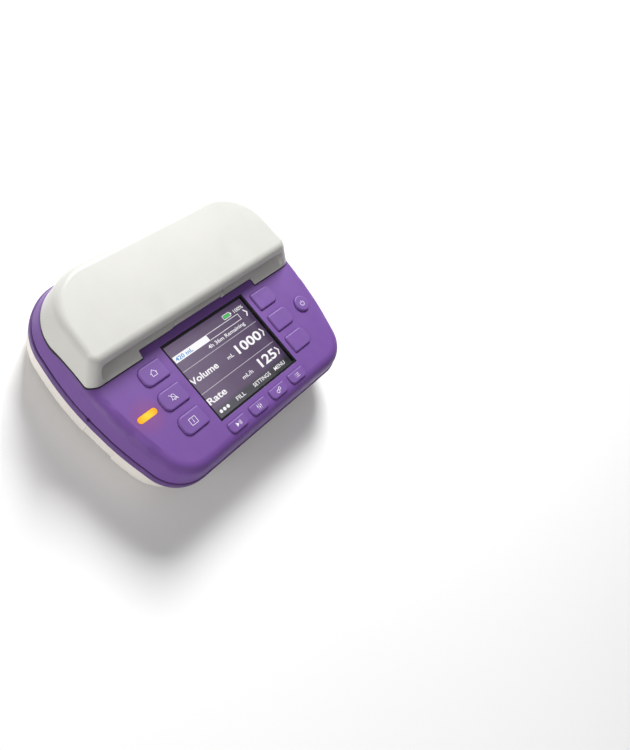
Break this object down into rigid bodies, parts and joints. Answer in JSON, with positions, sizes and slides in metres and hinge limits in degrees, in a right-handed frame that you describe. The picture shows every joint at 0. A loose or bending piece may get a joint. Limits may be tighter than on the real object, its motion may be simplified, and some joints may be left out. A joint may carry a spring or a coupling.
{
  "type": "peristaltic infusion pump",
  "caption": "Portable peristaltic fluid pump lying on its back: display, keypad and hinged lid over a roller rotor with a loaded tube cassette.",
  "frame": {"origin": "centre of the pump's footprint on the plane it rests on", "axes": "+Z out of the display face, +Y from the display towards the lid's hinge, +X to the right of someone reading the display"},
  "size_m": [0.1556, 0.1168, 0.0446],
  "materials": {
    "front_cover": "satin",
    "bumper_band": "matt",
    "case_seal": "matt",
    "back_cover": "matt",
    "battery_door": "matt",
    "dock_plate": "matt",
    "charge_contacts": "gold plated",
    "rubber_feet": "matt",
    "screw_steel": "plain",
    "display_bezel": "matt",
    "display_window": "clear",
    "display_panel": "screen",
    "status_light": "translucent amber",
    "circuit_board": "solder mask",
    "board_components": "moulded",
    "battery_pack": "sleeved",
    "speaker": "matt",
    "mechanism_plastic": "matt",
    "gear_plate": "plain",
    "bearing_bronze": "sintered bronze",
    "gearmotor": "plain",
    "steel_shaft": "ground",
    "rotor_plastic": "matt",
    "roller_plastic": "polished",
    "rotor_gear": "acetal",
    "sensor_tips": "matt",
    "air_sensor": "gloss",
    "pump_tube": "translucent silicone",
    "cassette_carrier": "clear plastic",
    "delivery_tubes": "clear soft tube",
    "spring_steel": "plain",
    "lid": "satin",
    "lid_liner": "matt",
    "lid_seal": "matt",
    "key_plastic": "satin"
  },
  "bodies": {
    "case": {"front_cover": "front_cover", "bumper_band": "bumper_band", "case_seal": "case_seal", "back_cover": "back_cover", "battery_door": "battery_door", "dock_plate": "dock_plate", "charge_contacts": "charge_contacts", "rubber_feet": "rubber_feet", "case_screws": "screw_steel", "battery_door_screws": "screw_steel", "display_bezel": "display_bezel", "display_window": "display_window", "display_panel": "display_panel", "status_light": "status_light", "keypad_board": "circuit_board", "main_board": "circuit_board", "board_components": "board_components", "board_screws": "screw_steel", "battery_pack": "battery_pack", "speaker": "speaker", "pump_chassis": "mechanism_plastic", "chassis_screws": "screw_steel", "gear_plate": "gear_plate", "rotor_bearings": "bearing_bronze", "gearmotor": "gearmotor", "motor_screws": "screw_steel", "pressure_sensors": "sensor_tips", "air_sensor": "air_sensor", "pump_tube": "pump_tube", "cassette_carrier": "cassette_carrier", "delivery_tubes": "delivery_tubes", "latch_keeper": "spring_steel", "hinge_pins": "steel_shaft"},
    "lid_body": {"lid": "lid", "lid_liner": "lid_liner", "lid_seal": "lid_seal", "lid_magnet": "steel_shaft", "latch_springs": "spring_steel"},
    "latch": {"latch_button": "lid"},
    "rotor": {"rotor_shaft": "steel_shaft", "rotor_base": "rotor_plastic", "rotor_cap": "rotor_plastic", "roller_pins": "steel_shaft", "rotor_gear": "rotor_gear"},
    "pinion": {"motor_pinion": "steel_shaft"},
    "roller_one_body": {"roller_one": "roller_plastic"},
    "roller_two_body": {"roller_two": "roller_plastic"},
    "roller_three_body": {"roller_three": "roller_plastic"},
    "key_home_body": {"key_home": "key_plastic"},
    "key_mute_body": {"key_mute": "key_plastic"},
    "key_info_body": {"key_info": "key_plastic"},
    "key_soft_upper_body": {"key_soft_upper": "key_plastic"},
    "key_soft_middle_body": {"key_soft_middle": "key_plastic"},
    "key_soft_lower_body": {"key_soft_lower": "key_plastic"},
    "key_start_pause_body": {"key_start_pause": "key_plastic"},
    "key_fill_body": {"key_fill": "key_plastic"},
    "key_settings_body": {"key_settings": "key_plastic"},
    "key_menu_body": {"key_menu": "key_plastic"},
    "key_power_body": {"key_power": "key_plastic"}
  },
  "joints": [
    {"name": "lid_hinge", "type": "hinge", "parent": "case", "child": "lid_body", "pos_m": [0, 0.0553, 0.0292], "axis": [-1, 0, 0], "range_deg": [0, 110], "deforming": ["latch_keeper"]},
    {"name": "latch_press", "type": "slide", "parent": "lid_body", "child": "latch", "axis": [0, 1, 0], "range_m": [0, 0.0012], "deforming": ["latch_springs"]},
    {"name": "rotor_spin", "type": "hinge", "parent": "case", "child": "rotor", "pos_m": [-0.04, 0.0323, 0.0326], "axis": [0, 0, 1], "continuous": true},
    {"name": "pinion_spin", "type": "hinge", "parent": "case", "child": "pinion", "pos_m": [-0.0208, 0.0323, 0.0326], "axis": [0, 0, 1], "continuous": true},
    {"name": "roller_one_spin", "type": "hinge", "parent": "rotor", "child": "roller_one_body", "pos_m": [-0.0355, 0.04009, 0.0358], "axis": [0, 0, 1], "continuous": true},
    {"name": "roller_two_spin", "type": "hinge", "parent": "rotor", "child": "roller_two_body", "pos_m": [-0.049, 0.0323, 0.0358], "axis": [0, 0, 1], "continuous": true},
    {"name": "roller_three_spin", "type": "hinge", "parent": "rotor", "child": "roller_three_body", "pos_m": [-0.0355, 0.02451, 0.0358], "axis": [0, 0, 1], "continuous": true},
    {"name": "key_home_press", "type": "slide", "parent": "case", "child": "key_home_body", "axis": [0, 0, -1], "range_m": [0, 0.0005]},
    {"name": "key_mute_press", "type": "slide", "parent": "case", "child": "key_mute_body", "axis": [0, 0, -1], "range_m": [0, 0.0005]},
    {"name": "key_info_press", "type": "slide", "parent": "case", "child": "key_info_body", "axis": [0, 0, -1], "range_m": [0, 0.0005]},
    {"name": "key_soft_upper_press", "type": "slide", "parent": "case", "child": "key_soft_upper_body", "axis": [0, 0, -1], "range_m": [0, 0.0005]},
    {"name": "key_soft_middle_press", "type": "slide", "parent": "case", "child": "key_soft_middle_body", "axis": [0, 0, -1], "range_m": [0, 0.0005]},
    {"name": "key_soft_lower_press", "type": "slide", "parent": "case", "child": "key_soft_lower_body", "axis": [0, 0, -1], "range_m": [0, 0.0005]},
    {"name": "key_start_pause_press", "type": "slide", "parent": "case", "child": "key_start_pause_body", "axis": [0, 0, -1], "range_m": [0, 0.0005]},
    {"name": "key_fill_press", "type": "slide", "parent": "case", "child": "key_fill_body", "axis": [0, 0, -1], "range_m": [0, 0.0005]},
    {"name": "key_settings_press", "type": "slide", "parent": "case", "child": "key_settings_body", "axis": [0, 0, -1], "range_m": [0, 0.0005]},
    {"name": "key_menu_press", "type": "slide", "parent": "case", "child": "key_menu_body", "axis": [0, 0, -1], "range_m": [0, 0.0005]},
    {"name": "key_power_press", "type": "slide", "parent": "case", "child": "key_power_body", "axis": [0, 0, -1], "range_m": [0, 0.0005]}
  ],
  "couplings": [
    {"joint": "pinion_spin", "follows": "rotor_spin", "ratio": -3},
    {"joint": "roller_one_spin", "follows": "rotor_spin", "ratio": -3.6},
    {"joint": "roller_two_spin", "follows": "rotor_spin", "ratio": -3.6},
    {"joint": "roller_three_spin", "follows": "rotor_spin", "ratio": -3.6}
  ]
}
